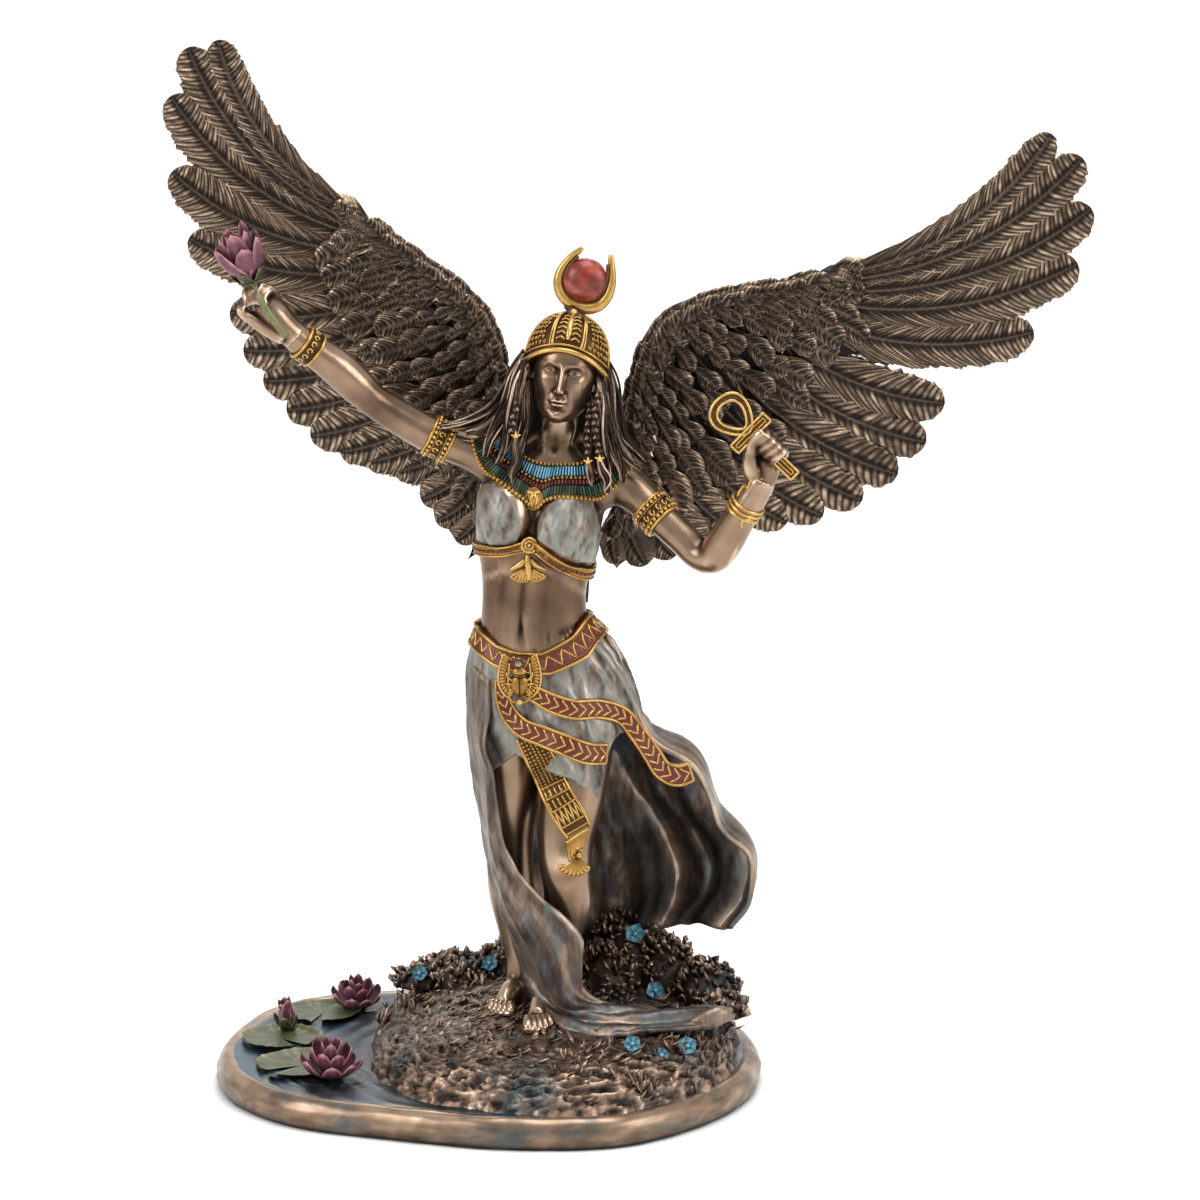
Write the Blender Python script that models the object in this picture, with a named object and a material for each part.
"""A cast and painted statuette of a winged goddess who stands barefoot on a pond-side mound.

Three castings: the figure with its mound and base, and two wings, each set flat against her back.
Metres, +Z up, +X to the viewer's right, and she faces -Y. The origin is the middle of the underside.
"""

import math

import bmesh
import bpy
import numpy as np

# Driving sizes of the base and the ground, in metres
BASE_LENGTH = 0.142
BASE_DEPTH = 0.117
BASE_THICKNESS = 0.008
MOUND_HEIGHT = 0.011
RIM_ROUND = 0.002

# Driving sizes of the figure, in metres
FIGURE_HEIGHT = 0.182
CLOTH_THICKNESS = 0.0022
BAND_THICKNESS = 0.0018
HORN_RADIUS = 0.0074
DISC_RADIUS = 0.0060
ANKH_LENGTH = 0.0284
ANKH_BAR = 0.0024
LOTUS_LENGTH = 0.0165
POND_LILY_RADIUS = 0.0085
PAD_THICKNESS = 0.0012

# Driving sizes of the wings, in metres
FEATHER_THICKNESS = 0.0030
SEAT_GAP = 0.0003
SEAT_DEPTH = 0.0110

# How finely the carved forms are fused and faceted
FUSE_VOXEL = 0.00085
WING_VOXEL = 0.00095
FIGURE_TRIANGLES = 5400
WING_TRIANGLES = 1850

# One unit of the carved figure is a 182nd of her height, sole to crown of the cap
UNITS_TALL = 182
UNIT = FIGURE_HEIGHT / UNITS_TALL
GROUND = BASE_THICKNESS + MOUND_HEIGHT
SUNK = 0.0015

# The base's outline, as shares of its half length and half depth, going round from her right
BASE_OUTLINE = (
    (-1.0, 0.0), (-0.94, -0.32), (-0.74, -0.64), (-0.33, -0.86), (0.14, -1.0), (0.48, -0.96),
    (0.76, -0.70), (0.95, -0.32), (1.0, 0.12), (0.91, 0.52), (0.60, 0.86), (0.10, 0.98),
    (-0.39, 1.0), (-0.66, 0.92), (-0.88, 0.66), (-0.97, 0.34),
)
# The mound's foot in the same shares: it leaves the pond open at her right
MOUND_OUTLINE = (
    (-0.42, 0.0), (-0.33, -0.48), (-0.20, -0.70), (0.10, -0.87), (0.47, -0.86), (0.78, -0.56),
    (0.89, -0.06), (0.88, 0.42), (0.62, 0.72), (0.16, 0.84), (-0.22, 0.76), (-0.40, 0.42),
)


def clear_scene():
    for obj in list(bpy.data.objects):
        bpy.data.objects.remove(obj)


def metal(name, colour, roughness, metallic):
    """A painted bronze finish of one colour."""
    material = bpy.data.materials.new(name)
    material.use_nodes = True
    shader = material.node_tree.nodes["Principled BSDF"]
    shader.inputs["Base Color"].default_value = (*colour, 1.0)
    shader.inputs["Roughness"].default_value = roughness
    shader.inputs["Metallic"].default_value = metallic
    return material


def smooth_rows(rows, count):
    """Rows of numbers read evenly along a smooth curve through the given rows, by cubic pieces."""
    rows = np.array(rows, float)
    steps = np.linalg.norm(np.diff(rows[:, :3], axis=0), axis=1)
    knots = np.concatenate([[0.0], np.cumsum(steps)])
    slopes = np.gradient(rows, knots, axis=0)
    at = np.linspace(0, knots[-1], count)
    i = np.clip(np.searchsorted(knots, at, side="right") - 1, 0, len(knots) - 2)
    span = (knots[i + 1] - knots[i])[:, None]
    u = (at - knots[i])[:, None] / span
    start = (1 + 2 * u) * (1 - u) ** 2 * rows[i] + u * (1 - u) ** 2 * span * slopes[i]
    end = u * u * (3 - 2 * u) * rows[i + 1] + u * u * (u - 1) * span * slopes[i + 1]
    return start + end


def closed_curve(points, count):
    """A closed smooth curve through points, as count points: cubic pieces over three laps, middle kept."""
    laps = list(points) * 3 + [points[0]]
    read = smooth_rows([(x, y, 0.0) for x, y in laps], 3 * count + 1)
    return read[count : 2 * count, :2]


def unit_rows(vectors):
    return vectors / np.linalg.norm(vectors, axis=1)[:, None]


class Clay:
    """A heap of closed shapes, gathered as one bmesh and fused later."""

    def __init__(self):
        self.mesh = bmesh.new()

    def rings(self, rings):
        """Bridges closed rings of points, end to end, and caps both ends."""
        loops = [[self.mesh.verts.new(point) for point in ring] for ring in rings]
        for near, far in zip(loops, loops[1:]):
            for k in range(len(near)):
                after = (k + 1) % len(near)
                self.mesh.faces.new((near[k], near[after], far[after], far[k]))
        self.mesh.faces.new(loops[0][::-1])
        self.mesh.faces.new(loops[-1])

    def tube(self, rows, rings=12, sides=10, facing=(0, -1, 0)):
        """An oval tube. A row is x, y, z, half width and half depth, all in metres."""
        rows = smooth_rows(rows, rings)
        centres = rows[:, :3]
        along = unit_rows(np.gradient(centres, axis=0))
        across = unit_rows(np.cross(along, np.array(facing, float)))
        front = np.cross(across, along)
        turn = np.linspace(0, 2 * math.pi, sides, endpoint=False)
        wide = across[:, None, :] * (rows[:, 3, None] * np.cos(turn))[:, :, None]
        deep = front[:, None, :] * (rows[:, 4, None] * np.sin(turn))[:, :, None]
        self.rings(centres[:, None, :] + wide + deep)

    def ball(self, centre, radii, rings=8, sides=10):
        """An upright ellipsoid, as rings of latitude."""
        rise = np.linspace(-0.97, 0.97, rings)
        turn = np.linspace(0, 2 * math.pi, sides, endpoint=False)
        girth = np.sqrt(1 - rise**2)
        x = centre[0] + radii[0] * girth[:, None] * np.cos(turn)
        y = centre[1] + radii[1] * girth[:, None] * np.sin(turn)
        z = centre[2] + radii[2] * rise[:, None] + 0 * turn
        self.rings(np.stack([x, y, z], axis=2))

    def sheet(self, net, thickness, across=14, along=18, folds=None):
        """A cloth of even thickness through a net of points, rows running down the cloth."""
        rows = [smooth_rows(row, across) for row in net]
        columns = [smooth_rows([row[k] for row in rows], along) for k in range(across)]
        middle = np.stack(columns, axis=1)
        side = np.gradient(middle, axis=1)
        down = np.gradient(middle, axis=0)
        normal = np.cross(side, down)
        normal = normal / np.linalg.norm(normal, axis=2)[:, :, None]
        if folds is not None:
            u, v = np.meshgrid(np.linspace(0, 1, across), np.linspace(0, 1, along))
            middle = middle + normal * folds(u, v)[:, :, None]
        near = middle + normal * thickness / 2
        far = middle - normal * thickness / 2
        self.rings([np.concatenate([near[k], far[k][::-1]]) for k in range(along)])

    def finish(self, name):
        bmesh.ops.recalc_face_normals(self.mesh, faces=self.mesh.faces)
        data = bpy.data.meshes.new(name)
        self.mesh.to_mesh(data)
        self.mesh.free()
        obj = bpy.data.objects.new(name, data)
        bpy.context.scene.collection.objects.link(obj)
        return obj


def on_figure(*values):
    """Units of the figure, from the middle of the base and from her soles, as metres."""
    x, y, z, *sizes = values
    return (UNIT * x, UNIT * y, GROUND + UNIT * z, *(UNIT * size for size in sizes))


def placed(rows):
    return [on_figure(*row) for row in rows]


def add_torso(clay):
    """Hips to neck: x, y, z, half width, half depth, swaying over her left leg."""
    clay.tube(
        placed([
            (16, 2, 70, 17, 11), (14.9, 2, 82, 17.5, 11.5), (13.1, 1, 96, 15.6, 10.4),
            (12.2, 1, 108.6, 13.4, 9.0), (13.0, 0, 120.5, 15.0, 9.6), (14.0, 0, 131.6, 16.5, 10),
            (15.6, 0.5, 140, 18, 8.6), (17, 1, 145, 13, 6.6), (18, 1, 149, 6.0, 5.6),
        ]),
        rings=14, sides=14,
    )
    clay.tube(placed([(18, 1, 143, 5.6, 5.6), (18.6, 0, 153, 4.9, 5.0), (19.6, 0, 162, 5.2, 5.4)]), rings=5)
    clay.ball(on_figure(5.6, -5.6, 131.6), (UNIT * 8.2, UNIT * 8.0, UNIT * 7.8))
    clay.ball(on_figure(22.0, -5.8, 128.6), (UNIT * 8.4, UNIT * 8.4, UNIT * 8.0))


def add_arms(clay):
    """Her right arm is raised and stretched out, her left bent with the fist at breast height."""
    clay.tube(
        placed([
            (6, 1, 142, 7.0, 7.0), (0.3, 1, 145.6, 6.4, 6.4), (-10.8, 0, 149.8, 5.4, 5.4),
            (-20.3, -1, 155.4, 5.2, 5.2), (-28.5, -3, 161.3, 5.2, 5.2), (-36.8, -6, 169.4, 5.3, 5.0),
            (-45.3, -9, 176.1, 4.2, 3.8), (-49, -10, 180, 4.0, 3.4),
        ]),
        rings=16, facing=(0.2, -1, 0.2),
    )
    clay.tube(
        placed([
            (31, 1, 140, 6.6, 6.6), (36.9, 0, 138, 6.4, 6.4), (42.2, -3, 132.6, 5.6, 5.6),
            (49.2, -6, 126.5, 5.3, 5.3), (55.0, -8.6, 121.8, 5.4, 5.2),
        ]),
        rings=10,
    )
    clay.tube(
        placed([
            (54.8, -8.4, 120.6, 4.4, 4.4), (57.4, -10, 123.6, 5.3, 5.2), (61.2, -12, 129.2, 5.4, 5.0),
            (66, -16, 136.2, 4.1, 3.8), (68.2, -17, 141, 3.9, 3.3),
        ]),
        rings=9,
    )


def add_hands(clay):
    """Each palm with four fingers and a thumb: one holds the lotus stem, the other grips the ankh."""
    clay.tube(
        placed([(-48, -10, 179, 4.0, 3.0), (-52, -11, 184, 4.6, 2.8), (-55.5, -12, 188.5, 4.2, 2.6)]),
        rings=5,
    )
    for k in range(4):
        spread = k * 2.0
        clay.tube(
            placed([
                (-58.4 + spread, -11.6, 187.2 + 0.7 * spread, 1.3, 1.3),
                (-61.0 + spread, -14.6, 189.8 + 0.7 * spread, 1.2, 1.2),
                (-58.8 + spread, -16.6, 191.2 + 0.6 * spread, 1.0, 1.0),
            ]),
            rings=5, sides=8,
        )
    clay.tube(
        placed([(-48.5, -12, 183, 1.7, 1.7), (-50, -14.5, 188.5, 1.5, 1.5), (-53.5, -16, 193, 1.1, 1.1)]),
        rings=5, sides=8,
    )
    clay.tube(
        placed([(67.4, -17, 139.5, 3.8, 3.2), (69.6, -17.8, 144.5, 4.4, 3.4), (72, -18, 149, 4.4, 3.4)]),
        rings=5,
    )
    for k in range(4):
        step = k * 2.15
        clay.tube(
            placed([
                (69.2 + step, -18.0, 153.4 - 0.93 * step, 1.4, 1.5),
                (67.8 + step, -21.6, 152.2 - 0.93 * step, 1.4, 1.4),
                (66.0 + step, -22.4, 149.6 - 0.93 * step, 1.3, 1.3),
            ]),
            rings=5, sides=8, facing=(0.7, 0, -0.7),
        )
    clay.tube(
        placed([(66, -18, 142.5, 1.8, 1.8), (64.8, -21, 147.0, 1.6, 1.6), (66.6, -23, 151.0, 1.2, 1.2)]),
        rings=5, sides=8,
    )


def add_legs(clay):
    clay.tube(
        placed([
            (7, 2, 82, 11.5, 11), (5.8, 1, 60, 9.2, 9.4), (5.4, 4, 42, 6.8, 7.2),
            (6.1, 6, 28, 5.4, 6.0), (7.9, 4, 12, 3.3, 3.6), (7.6, 3, 5, 3.4, 4.0),
        ]),
        rings=12,
    )
    clay.tube(
        placed([
            (23.4, -1, 82, 12.5, 11.5), (21.9, -6, 63.5, 10, 10), (19.8, -10.5, 44.8, 7.6, 7.8),
            (21.0, -9, 31.6, 6.2, 6.6), (18.0, -6, 18.6, 4.6, 5.0), (14.6, -4, 7.3, 3.4, 3.8),
        ]),
        rings=12,
    )
    for heel, ball_of_foot, toes in (
        ((8.0, 4.5, 3.0), (4.8, -2.0, 3.4), (2.6, -6.0, 2.0)),
        ((14.8, -3.0, 3.0), (13.2, -13.0, 3.6), (11.8, -22.0, 1.0)),
    ):
        clay.tube(
            placed([(*heel, 3.6, 4.2), (*ball_of_foot, 4.6, 3.0), (*toes, 4.6, 1.8)]),
            rings=8, facing=(0, 0, 1),
        )
        clay.ball(on_figure(heel[0], heel[1], heel[2] - 0.5), [UNIT * 3.6] * 3)


def add_head(clay):
    """Skull, jaw, nose and the cap, with the disc between horns leaning as her head does."""
    clay.ball(on_figure(20.2, -0.6, 168.5), (UNIT * 9.0, UNIT * 9.2, UNIT * 9.6), rings=10, sides=14)
    clay.tube(
        placed([
            (20.6, -3.8, 172, 7.2, 6.0), (20.0, -4.4, 164, 6.9, 6.0),
            (19.6, -5.0, 159.2, 5.0, 4.6), (19.6, -5.4, 156.6, 2.4, 2.6),
        ]),
        rings=8, sides=12,
    )
    clay.tube(
        placed([(20.6, -9.4, 168.5, 0.8, 0.8), (20.3, -11.3, 163.6, 1.3, 1.5), (20.2, -9.6, 162.4, 1.0, 0.8)]),
        rings=5, sides=8,
    )
    clay.tube(
        placed([
            (20.2, -0.4, 168.6, 10.4, 10.2), (20.6, -0.4, 172.5, 10.3, 10.4), (21.4, -0.4, 177.2, 8.9, 8.8),
            (22.4, -0.3, 180.8, 6.0, 6.0), (23.0, -0.2, 182.2, 3.8, 3.8), (23.3, 0, 184.4, 3.0, 3.0),
        ]),
        rings=10, sides=14,
    )


def crown_point(angle, radius):
    """A point of the horns' circle, which leans 12 degrees with the head. Angle 0 is straight up."""
    lean = math.radians(12)
    x, _, z = on_figure(25.0, 0, 190.6)
    return (x + radius * math.sin(angle + lean), 0.0, z + radius * math.cos(angle + lean))


def add_crown(clay):
    """The sun disc as a flattened ball between two horns, which taper from their joined foot."""
    centre = crown_point(0, 0.0)
    clay.ball(centre, (DISC_RADIUS, DISC_RADIUS * 0.72, DISC_RADIUS), rings=10, sides=14)
    for way in (-1, 1):
        rows = []
        for share in np.linspace(0, 1, 7):
            angle = way * (math.pi - share * math.radians(148))
            flare = 1 + 0.22 * max(0.0, share - 0.72) / 0.28
            girth = HORN_RADIUS * (0.27 - 0.17 * share)
            rows.append((*crown_point(angle, HORN_RADIUS * flare), girth, girth * 1.1))
        clay.tube(rows, rings=10, sides=8)


def add_hair(clay):
    """A fall of hair down her back, cut flat for the wings, and locks over both shoulders."""
    locks = (
        ((20, 6, 172, 8.5, 4.0), (19, 6.5, 158, 9.5, 3.8), (18, 7, 142, 9.5, 3.6), (20, 8, 122, 8, 3), (23, 8, 105, 3.5, 2.4)),
        ((11.6, 0, 168, 2.6, 3.0), (8.5, 1, 159, 3.4, 3.4), (1.0, 1, 152.6, 3.2, 3.0), (-8.5, -3, 150.8, 1.2, 1.6)),
        ((11.8, -3, 167, 2.4, 2.6), (9.6, -5, 156, 2.8, 2.6), (6.6, -8.0, 147, 2.9, 2.2), (5.0, -9.6, 140, 1.4, 1.2)),
        ((29.4, -2, 167, 2.4, 2.8), (32.0, -2, 156, 3.2, 3.0), (35.5, -3.5, 147, 3.4, 2.6), (34.0, -6.5, 139, 1.6, 1.4)),
        ((29, -4, 165, 1.6, 1.8), (29.6, -6, 154, 2.0, 1.8), (29.6, -8.4, 145, 1.9, 1.6), (29.0, -9.6, 138, 0.9, 0.9)),
    )
    for lock in locks:
        clay.tube(placed(lock), rings=10, sides=10)


def add_collar(clay):
    """The broad collar lies as a thick disc round the neck, dipping at the front."""
    turn = np.linspace(0, 2 * math.pi, 20, endpoint=False)
    rings = []
    for share, thick in ((0.0, 0.0), (0.0, 1.0), (0.5, 1.0), (1.0, 0.9), (1.0, 0.0)):
        reach_x = 6.5 + 11.0 * share
        reach_y = 6.2 + 5.6 * share
        dip = 150.5 - 9.5 * share + 1.6 * share * np.sin(turn)
        x = 17.8 + reach_x * np.cos(turn)
        y = 0.6 + reach_y * np.sin(turn)
        z = dip + 1.2 * thick
        rings.append([on_figure(*point) for point in zip(x, y, z)])
    clay.rings(rings)


def add_skirt(clay):
    """The short overskirt round hips and thighs, and the belt on its upper edge."""
    turn = np.linspace(0, 2 * math.pi, 24, endpoint=False)
    hem = 63 + 5 * np.cos(turn - 2.2) - 4 * np.cos(turn) - 3 * np.cos(2 * turn)
    rings = []
    for share in np.linspace(0, 1, 9):
        swell = math.sin(share * 1.9)
        pleat = 0.5 * share * np.cos(9 * turn + 4 * share)
        x = 13.6 + 4.6 * share + (15.8 + 4.4 * swell + pleat) * np.cos(turn)
        y = 0.8 - 1.2 * share + (10.9 + 3.2 * swell + pleat) * np.sin(turn)
        z = (99 - 4.5 * np.exp(-((turn - 4.45) / 0.7) ** 2)) * (1 - share) + hem * share
        rings.append([on_figure(*point) for point in zip(x, y, z)])
    clay.rings(rings)
    belt = []
    for lift, out in ((-2.3, 0.0), (-2.3, 1.1), (2.3, 1.1), (2.3, 0.0)):
        x = 13.4 + (16.2 + out) * np.cos(turn)
        y = 0.8 + (11.1 + out) * np.sin(turn)
        z = 99 + lift - 7.5 * np.exp(-((turn - 4.45) / 0.75) ** 2)
        belt.append([on_figure(*point) for point in zip(x, y, z)])
    clay.rings(belt)


def robe_folds(u, v):
    """Folds that start at the hip and deepen towards the hem."""
    return UNIT * 2.6 * v**1.3 * np.sin(2 * math.pi * (3.1 * u + 0.25 * v))


def add_robe(clay):
    """The long robe behind her legs, blown out to her left and resting on the bush."""
    clay.sheet(
        [
            placed([(-1, 9, 97), (13, 12, 97.5), (25, 10.5, 98.5), (30.6, 0, 99)]),
            placed([(-1, 11, 84), (15, 14.5, 84), (30, 12.5, 85), (37.2, 1, 84.6)]),
            placed([(1, 12, 69), (18, 18, 67), (36, 16.5, 70), (45.8, 4, 70.8)]),
            placed([(3, 12, 50), (22, 20.5, 48), (42, 21, 53), (57.0, 6, 58)]),
            placed([(7, 11, 28), (25, 22.5, 29), (46, 24, 33), (66.6, 8, 41)]),
            placed([(9, 10, 3), (27, 23, 9), (44, 22, 17.5), (65.4, 9, 20)]),
        ],
        CLOTH_THICKNESS * 1.3, across=22, along=18, folds=robe_folds,
    )


def add_drape(clay):
    """The robe's other edge: down her right hip, across both shins, and trailing on the ground."""
    edges = (
        ((-4.2, 3, 86), (1.5, -11.5, 82)), ((-3.4, 4.5, 68), (1.8, -12, 66)),
        ((-0.6, 5.5, 53.5), (3.6, -12.5, 50)), ((0.4, 6.5, 43), (7.5, -14.5, 38)),
        ((2.2, 6, 34.5), (14.5, -18, 29.5)), ((5.2, 4.5, 26), (22.2, -17.5, 25)),
        ((8.2, 1, 17.5), (24.6, -15.5, 15.5)), ((11.0, -5, 9.5), (25.2, -14, 8.5)),
        ((15.5, -13, 3.2), (29.5, -10.5, 5.4)), ((22, -20, 1.2), (36, -5, 4.2)),
        ((36, -22, 0.8), (44, -3, 3.4)), ((49, -18, 0.8), (53, -6.5, 3.6)), ((59.5, -12.5, 1.2), (58.5, -8, 3.4)),
    )
    net = []
    for outer, inner in edges:
        middle = [(a + b) / 2 for a, b in zip(outer, inner)]
        middle[1] -= 2.2
        net.append(placed([outer, middle, inner]))
    clay.sheet(net, CLOTH_THICKNESS * 1.1, across=9, along=30)


def add_sashes(clay):
    """Two chevron sashes and the beaded apron panel, all hanging from the buckle."""
    ribbons = (
        (5.4, ((9, -15, 90), (20, -15.6, 84), (29, -14, 80), (37.5, -9.8, 79.4), (43.5, -8.6, 71.6), (48.8, -7.6, 65), (53, -7.4, 65))),
        (5.4, ((4.0, -14.4, 87), (7.5, -16.4, 79), (14, -18, 73), (22, -18.2, 69.4), (31.5, -15.4, 68.6))),
        (8.4, ((10.5, -17.2, 76), (13.5, -19, 68), (18.5, -20.4, 59), (23.2, -20.6, 50.5), (25.0, -20.2, 40.6))),
    )
    for width, path in ribbons:
        rows = [(*point, width / 2, BAND_THICKNESS / UNIT / 2) for point in path]
        clay.tube(placed(rows), rings=14, sides=8)
    clay.ball(on_figure(8.6, -14.4, 91.6), (UNIT * 3.8, UNIT * 2.0, UNIT * 4.6), rings=6)


def add_bands(clay):
    """Armlets and bracelets as raised bands, and the round clasp under the breasts."""
    bands = (
        ((-9.0, 0, 149.0), (-14.2, -0.3, 151.6), 6.3), ((-42.4, -8, 174), (-45.6, -9.1, 176.5), 4.8),
        ((41.0, -2.4, 133.8), (45.2, -4.4, 129.9), 6.4), ((64.2, -14.6, 133.6), (66.2, -16, 136.6), 4.9),
    )
    for start, end, radius in bands:
        clay.tube(placed([(*start, radius, radius), (*end, radius, radius)]), rings=3, sides=12)
    clay.ball(on_figure(10.2, -10.2, 124.0), (UNIT * 2.4, UNIT * 2.6, UNIT * 2.4), rings=5)
    clay.ball(on_figure(10.0, -9.4, 118.0), (UNIT * 4.4, UNIT * 2.4, UNIT * 3.8), rings=5)


def add_ankh(clay):
    """A flat loop, a cross bar and a shaft that passes through her fist."""
    middle = np.array(on_figure(66, -20, 155.6))
    tilt = math.radians(45.8)
    down = np.array([math.sin(tilt), 0, -math.cos(tilt)])
    side = np.array([math.cos(tilt), 0, math.sin(tilt)])
    flat = ANKH_BAR / 2 * 0.8
    rows = []
    for share in np.linspace(0, 1, 13):
        angle = 2 * math.pi * share
        out = ANKH_LENGTH * 0.165 * math.sin(angle) * (1 - 0.18 * math.cos(angle))
        up = ANKH_LENGTH * 0.185 * (1 - math.cos(angle)) + ANKH_BAR * 0.2
        rows.append((*(middle - down * up + side * out), ANKH_BAR / 2, flat))
    clay.tube(rows, rings=20, sides=8)
    bar = ANKH_LENGTH * 0.215
    clay.tube([(*(middle + side * k * bar), ANKH_BAR * 0.62, flat) for k in (-1, 0, 1)], rings=3, sides=8)
    shaft = ANKH_LENGTH * 0.57
    clay.tube([(*(middle + down * k * shaft), ANKH_BAR * 0.62, flat) for k in (0, 0.5, 1)], rings=3, sides=8)


def add_lotus(clay):
    """A half-open lotus bloom over her fist: two rings of cupped petals round a bud."""
    foot = np.array(on_figure(-58.2, -13.2, 192.6))
    axis = np.array([-0.30, -0.12, 0.95])
    side = unit_rows(np.cross(axis, [[0.0, 1.0, 0.0]]))[0]
    back = np.cross(axis, side)
    for count, spread, height in ((5, 0.20, 1.0), (6, 0.42, 0.86)):
        for k in range(count):
            angle = 2 * math.pi * (k + 0.5 * (count % 2)) / count
            out = side * math.cos(angle) + back * math.sin(angle)
            rows = []
            for share, wide in ((0.0, 0.07), (0.3, 0.15), (0.65, 0.17), (0.9, 0.10), (1.0, 0.03)):
                lean = spread * math.sin(share * 2.2)
                point = foot + LOTUS_LENGTH * (axis * share * height + out * lean)
                rows.append((*point, LOTUS_LENGTH * wide, LOTUS_LENGTH * 0.06))
            clay.tube(rows, rings=6, sides=8, facing=tuple(out))
    clay.ball(foot + LOTUS_LENGTH * 0.4 * axis, [LOTUS_LENGTH * 0.22] * 3)
    stem = [on_figure(-49.5, -14.5, 181, 0.9, 0.9), (*foot, UNIT * 1.2, UNIT * 1.2)]
    clay.tube(stem, rings=4, sides=8)


def on_base(share_x, share_y, height):
    return (share_x * BASE_LENGTH / 2, share_y * BASE_DEPTH / 2, height)


def add_mound(clay):
    """The lumpy bank she stands on, and bushes behind her that carry the robe's hem."""
    outline = closed_curve(MOUND_OUTLINE, 40)
    turn = np.linspace(0, 2 * math.pi, 40, endpoint=False)
    rings = []
    for share, lift in ((1.0, -0.13), (1.0, 0.10), (0.93, 0.52), (0.82, 0.84), (0.6, 1.0), (0.3, 1.06), (0.06, 1.06)):
        lumps = 1 + 0.05 * share * np.sin(7 * turn + 4 * share) + 0.03 * np.sin(13 * turn)
        x = (0.20 + (outline[:, 0] - 0.20) * share * lumps) * BASE_LENGTH / 2
        y = (outline[:, 1] * share * lumps) * BASE_DEPTH / 2
        rise = MOUND_HEIGHT * (lift + 0.25 * max(lift, 0) * np.clip(y / (BASE_DEPTH / 2), 0, 1))
        rise = rise + MOUND_HEIGHT * 0.12 * share * max(lift, 0) * np.sin(9 * turn - 6 * share)
        rings.append(np.stack([x, y, BASE_THICKNESS + rise], axis=1))
    clay.rings(rings)
    bushes = (
        (0.50, 0.42, 12, 10, 21), (0.64, 0.38, 10, 9, 14), (0.80, 0.30, 9, 9, 8), (0.34, 0.50, 12, 10, 15),
        (0.60, 0.60, 12, 10, 9), (0.10, 0.60, 12, 9, 9), (-0.14, 0.58, 11, 9, 5), (0.86, 0.0, 6, 9, 3),
    )
    for share_x, share_y, wide, deep, tall in bushes:
        low = on_base(share_x, share_y, GROUND)
        clay.ball(low, (UNIT * wide, UNIT * deep, UNIT * tall), rings=8, sides=10)


def add_lilies(clay):
    """Two open water lilies, a bud and two floating pads on the pond."""
    pads = ((-0.58, 0.42, 11.5, 0.75), (-0.72, -0.10, 12.5, 0.80))
    for share_x, share_y, radius, squash in pads:
        centre = on_base(share_x, share_y, BASE_THICKNESS)
        turn = np.linspace(0, 2 * math.pi, 16, endpoint=False)
        rings = []
        for lift in (-1.0, 1.0):
            x = centre[0] + UNIT * radius * (1 + 0.05 * np.sin(5 * turn)) * np.cos(turn)
            y = centre[1] + UNIT * radius * squash * np.sin(turn)
            rings.append(np.stack([x, y, centre[2] + lift * PAD_THICKNESS * 0.8 + 0 * turn], axis=1))
        clay.rings(rings)
    blooms = ((-0.52, 0.60, 0.86), (-0.56, -0.38, 1.0))
    for share_x, share_y, size in blooms:
        centre = np.array(on_base(share_x, share_y, BASE_THICKNESS))
        radius = POND_LILY_RADIUS * size
        clay.ball(centre + [0, 0, radius * 0.45], (radius * 0.55, radius * 0.55, radius * 0.75))
        for count, reach, height in ((6, 0.85, 0.8), (6, 0.52, 1.12)):
            for k in range(count):
                angle = 2 * math.pi * (k + 0.5 * (height > 1)) / count
                out = np.array([math.cos(angle), math.sin(angle), 0])
                rows = []
                for share, wide in ((0.0, 0.16), (0.4, 0.26), (0.8, 0.20), (1.0, 0.06)):
                    lean = reach * math.sin(share * 1.6)
                    point = centre + radius * (out * lean + np.array([0, 0, height * share]))
                    rows.append((*point, radius * wide, radius * 0.13))
                clay.tube(rows, rings=5, sides=8, facing=tuple(out))
    bud = np.array(on_base(-0.75, 0.26, BASE_THICKNESS - PAD_THICKNESS))
    rows = [(*(bud + [0, 0, UNIT * up]), UNIT * wide, UNIT * wide) for up, wide in ((0, 2.6), (4, 2.9), (7, 1.8), (9, 0.5))]
    clay.tube(rows, rings=6, sides=8)


def outline_ring(scale, height, count=64):
    outline = closed_curve(BASE_OUTLINE, count)
    shrink_x = BASE_LENGTH / 2 - scale
    shrink_y = BASE_DEPTH / 2 - scale
    return np.stack([outline[:, 0] * shrink_x, outline[:, 1] * shrink_y, np.full(count, height)], axis=1)


def make_base():
    """The base plate: a flat underside, a side that leans in a little, and a rounded rim."""
    clay = Clay()
    lean = RIM_ROUND * 0.4
    clay.rings([
        outline_ring(0.0, 0.0),
        outline_ring(lean, BASE_THICKNESS - RIM_ROUND),
        outline_ring(lean + RIM_ROUND * 0.4, BASE_THICKNESS - RIM_ROUND * 0.3),
        outline_ring(lean + RIM_ROUND, BASE_THICKNESS),
    ])
    return clay.finish("figure_and_base")


def fuse(obj, voxel, triangles):
    """Fuses overlapping shapes into one skin and leaves about the wanted number of triangles."""
    remesh = obj.modifiers.new("fuse", "REMESH")
    remesh.mode = "VOXEL"
    remesh.voxel_size = voxel
    count = len(evaluated_copy(obj).polygons)
    thin = obj.modifiers.new("thin", "DECIMATE")
    thin.ratio = min(1.0, triangles / (2 * count))
    thin.use_collapse_triangulate = True
    obj.data = evaluated_copy(obj)
    obj.modifiers.clear()


def evaluated_copy(obj):
    graph = bpy.context.evaluated_depsgraph_get()
    graph.update()
    return bpy.data.meshes.new_from_object(obj.evaluated_get(graph))


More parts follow.
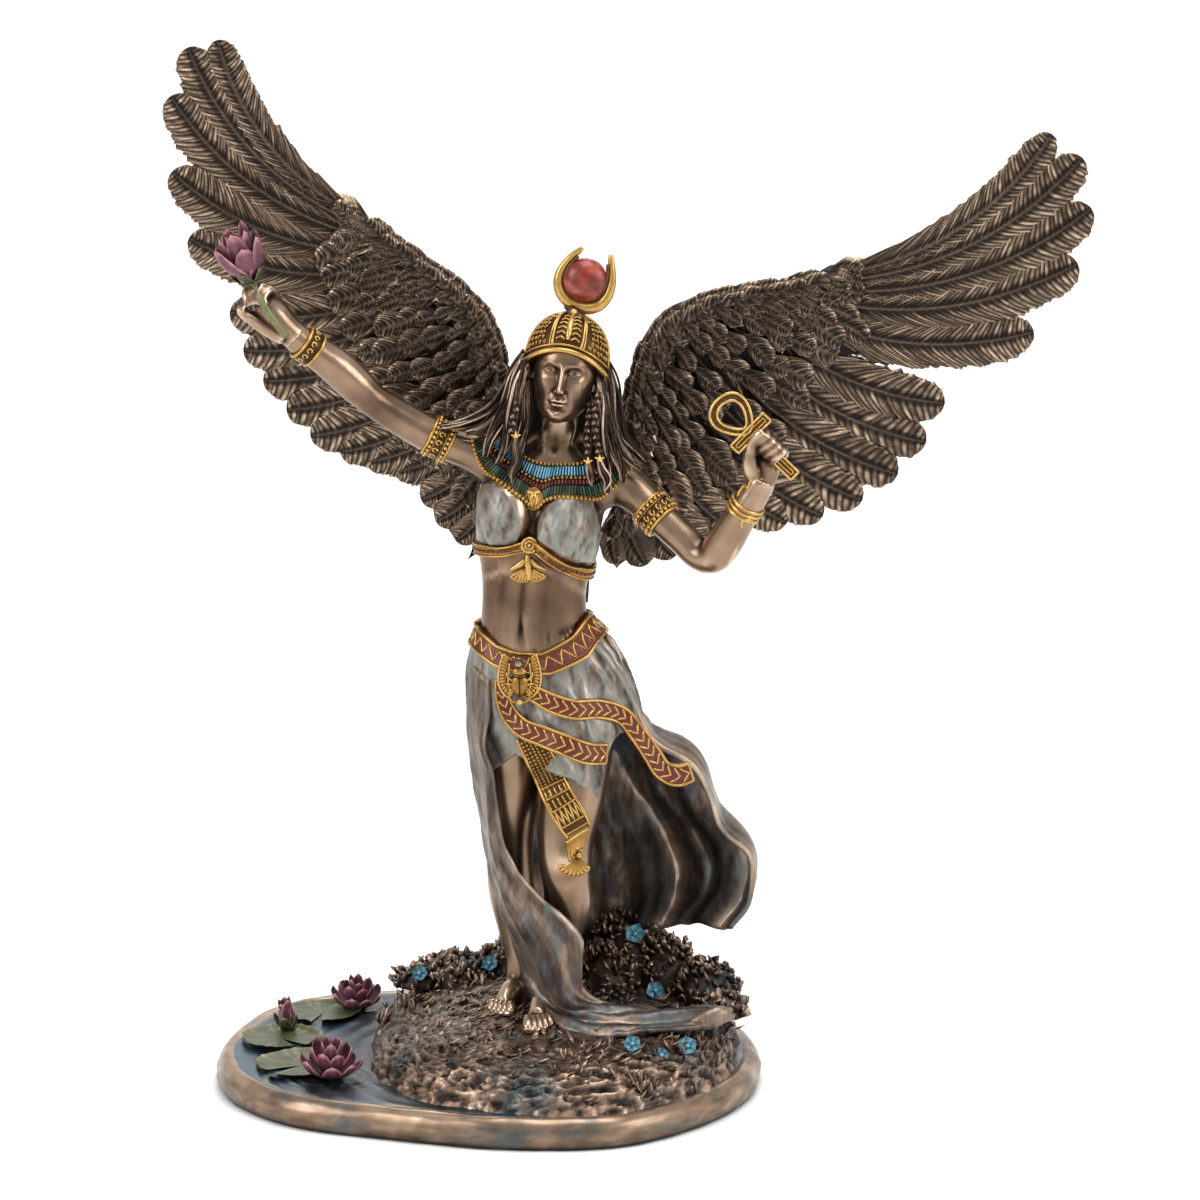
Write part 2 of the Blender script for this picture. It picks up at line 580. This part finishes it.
def helper_box(name, low, high):
    """A box that only cuts."""
    mesh = bmesh.new()
    bmesh.ops.create_cube(mesh, size=1.0)
    for vertex in mesh.verts:
        vertex.co = [low[k] if vertex.co[k] < 0 else high[k] for k in range(3)]
    data = bpy.data.meshes.new(name)
    mesh.to_mesh(data)
    mesh.free()
    box = bpy.data.objects.new(name, data)
    box.hide_render = True
    box.display_type = "WIRE"
    bpy.context.scene.collection.objects.link(box)
    return box


def boolean(obj, other, operation):
    cut = obj.modifiers.new(other.name, "BOOLEAN")
    cut.operation = operation
    cut.object = other


def make_figure(finish):
    """The casting of figure, mound and base, with a flat seat across her back for the wings."""
    clay = Clay()
    for add in (
        add_torso, add_arms, add_hands, add_legs, add_head, add_crown, add_hair, add_collar, add_skirt,
        add_robe, add_drape, add_sashes, add_bands, add_ankh, add_lotus, add_mound, add_lilies,
    ):
        add(clay)
    for x in (4.5, 32.0):
        clay.tube(placed([(x, 7.6, 120, 5.0, 5.6), (x, 7.6, 147, 5.0, 5.6)]), rings=3, sides=12)
    sculpture = clay.finish("sculpture")
    fuse(sculpture, FUSE_VOXEL, FIGURE_TRIANGLES)
    reach = FIGURE_HEIGHT
    behind = helper_box(
        "behind_the_seat", (-reach, SEAT_DEPTH, GROUND + UNIT * 98), (reach, reach, GROUND + 2 * reach)
    )
    below = helper_box(
        "below_the_ground", (-reach, -reach, -reach), (reach, reach, BASE_THICKNESS - SUNK)
    )
    boolean(sculpture, behind, "DIFFERENCE")
    boolean(sculpture, below, "DIFFERENCE")
    sculpture.hide_render = True
    sculpture.display_type = "WIRE"
    base = make_base()
    boolean(base, sculpture, "UNION")
    base.data.materials.append(finish)
    return base


# Her left wing, at the viewer's right: where feathers spring from, and where they end, in figure units
LEFT_BONE = (
    (87.7, 18, 192.4), (84, 19, 186), (76, 20, 184), (62, 20.5, 182), (50, 20.5, 178), (42, 19, 172),
    (37, 17, 160), (34, 16, 148), (32, 16, 134),
)
LEFT_TIPS = (
    (142.7, 9, 226.7), (150.6, 10, 220.7), (153.4, 12, 207.7), (150.5, 14, 193.4), (140.0, 17, 175.5),
    (117.8, 20, 156.5), (113.3, 22, 146.0), (106.1, 22, 137.6), (97.0, 22, 130.8), (86.8, 22, 126.6),
    (77.5, 22, 124.8), (66.0, 21, 121.0), (56.5, 20, 118.8), (48.4, 19, 116.4), (41.0, 18, 114.4), (33, 17, 115),
)
# Her right wing, at the viewer's left, held higher
RIGHT_BONE = (
    (-31.1, 18, 206.5), (-28, 19, 199), (-21, 20, 194), (-12, 20.5, 189), (-4, 20.5, 184), (2, 19, 176),
    (5, 17, 163), (5.5, 16, 148), (4.5, 16, 134),
)
RIGHT_TIPS = (
    (-66.9, 9, 250.2), (-74.4, 10, 248.3), (-79.1, 12, 236.0), (-79.4, 14, 216.7), (-75.7, 17, 199.5),
    (-65.9, 20, 180.1), (-62.7, 21, 170.2), (-57.8, 22, 162.0), (-51.9, 22, 154.4), (-45.8, 22, 147.6),
    (-38.2, 22, 143.4), (-31.5, 22, 140.8), (-24.3, 22, 138.2), (-17.3, 21, 131.0), (-13.4, 20, 125.4),
    (-8.3, 19, 120.6), (-2.6, 18, 118.4),
)


def add_feather(clay, root, tip, bend, half_width, half_thick):
    """One feather: it bows away from the straight line by bend, swells and ends in a round tip."""
    root = np.array(root)
    tip = np.array(tip)
    chord = tip - root
    bow = np.array([-chord[2], 0.0, chord[0]]) * bend
    rows = []
    for share, wide in ((0.0, 0.45), (0.25, 0.8), (0.55, 1.0), (0.8, 1.0), (0.93, 0.8), (1.0, 0.34)):
        point = root + chord * share + bow * 4 * share * (1 - share)
        rows.append((*point, half_width * wide, half_thick * (1.25 - 0.5 * share)))
    clay.tube(rows, rings=9, sides=8)


def make_wing(name, bone, tips, turn, finish):
    """Long feathers, three rows of coverts on each face, and the arm of the wing along its edge."""
    clay = Clay()
    count = len(tips)
    tips = np.array(placed(tips))
    roots = smooth_rows(placed(bone), count)
    half_thick = FEATHER_THICKNESS / 2
    for k in range(count):
        share = k / (count - 1)
        bend = turn * (0.115 - 0.03 * share)
        length = np.linalg.norm(tips[k] - roots[k])
        half_width = UNIT * (7.4 - 1.6 * share) if k else UNIT * 4.6
        add_feather(clay, roots[k], tips[k], bend, half_width, half_thick)
        for row, (reach, layer) in enumerate(((0.55, 1.0), (0.38, 1.8), (0.22, 2.5))):
            reach *= 0.28 + 0.72 * min(1.0, share / 0.35)
            for face in (-1, 1):
                shift = np.array([0, face * layer * half_thick, 0])
                end = roots[k] + (tips[k] - roots[k]) * reach
                if length * reach > UNIT * 4:
                    add_feather(clay, roots[k] + shift * 0.6, end + shift, 0.0, UNIT * 4.6, half_thick * 0.8)
    arm = [(*point, UNIT * girth, UNIT * girth) for point, girth in zip(placed(bone), (1.8, 2.4, 3, 3.6, 4.2, 4.6, 4.6, 4.4, 4.0))]
    clay.tube(arm, rings=14, sides=8)
    foot_x = bone[-1][0]
    clay.tube(placed([(foot_x, 14.5, 122, 5, 5.5), (foot_x, 14.5, 134, 5.5, 5.5), (foot_x, 14.5, 147, 5, 5.5)]), rings=3)
    wing = clay.finish(name)
    fuse(wing, WING_VOXEL, WING_TRIANGLES)
    reach = FIGURE_HEIGHT
    front = helper_box(
        name + "_seat_cut", (-reach * 0.1, -reach, GROUND), (reach * 0.27, SEAT_DEPTH + SEAT_GAP, 2 * reach)
    )
    boolean(wing, front, "DIFFERENCE")
    wing.data.materials.append(finish)
    return wing


def main():
    clear_scene()
    bronze = metal("cast_bronze", (0.23, 0.15, 0.10), 0.42, 0.85)
    feather = metal("feather_bronze", (0.17, 0.125, 0.09), 0.5, 0.8)
    make_figure(bronze)
    make_wing("right_wing", RIGHT_BONE, RIGHT_TIPS, 1, feather)
    make_wing("left_wing", LEFT_BONE, LEFT_TIPS, -1, feather)


main()
